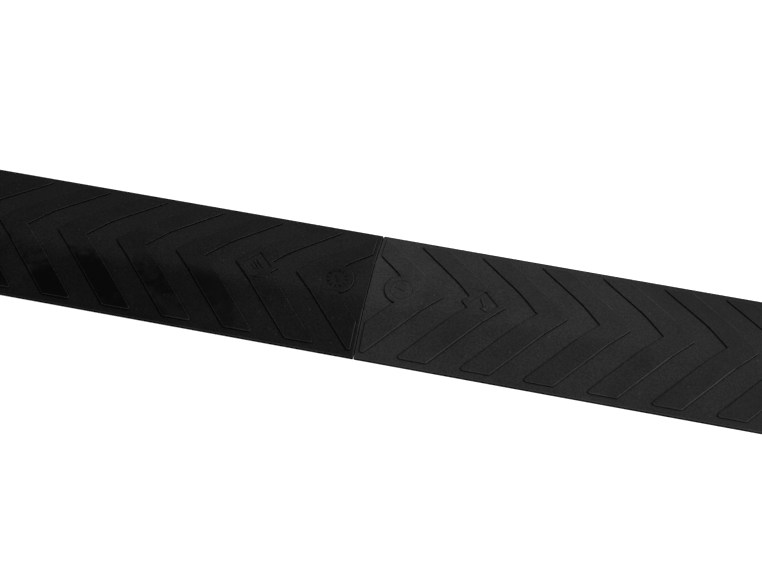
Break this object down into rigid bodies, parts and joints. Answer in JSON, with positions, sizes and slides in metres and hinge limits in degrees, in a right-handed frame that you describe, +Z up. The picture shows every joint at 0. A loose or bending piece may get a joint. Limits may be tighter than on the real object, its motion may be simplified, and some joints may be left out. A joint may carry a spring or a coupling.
{
  "type": "parking wheel stop",
  "caption": "Low, modular rubber wheel stop: trapezoid strip with raised chevron treads, modules dowelled end to end, plugged anchor holes.",
  "frame": {"origin": "on the ground, midway along the stop, where the two modules meet", "axes": "+X along the stop towards the right module, +Y across it, +Z up"},
  "size_m": [1.8, 0.15, 0.0227],
  "materials": {
    "moulded_rubber": "matt black moulded rubber with a dusty bloom",
    "plug_rubber": "matt black rubber, a little smoother",
    "galvanised_steel": "dull zinc plated steel"
  },
  "bodies": {
    "left_half": {"left_module": "moulded_rubber", "left_anchor_bush": "galvanised_steel", "front_joint_dowel": "galvanised_steel", "rear_joint_dowel": "galvanised_steel"},
    "right_half": {"right_module": "moulded_rubber", "right_anchor_bush": "galvanised_steel"},
    "left_plug": {"left_anchor_plug": "plug_rubber"},
    "right_plug": {"right_anchor_plug": "plug_rubber"}
  },
  "joints": [
    {"name": "module_pull_apart", "type": "slide", "parent": "left_half", "child": "right_half", "axis": [1, 0, 0], "range_m": [0, 0.05]},
    {"name": "left_plug_lift", "type": "slide", "parent": "left_half", "child": "left_plug", "axis": [0, 0, 1], "range_m": [0, 0.02]},
    {"name": "right_plug_lift", "type": "slide", "parent": "right_half", "child": "right_plug", "axis": [0, 0, 1], "range_m": [0, 0.02]}
  ]
}
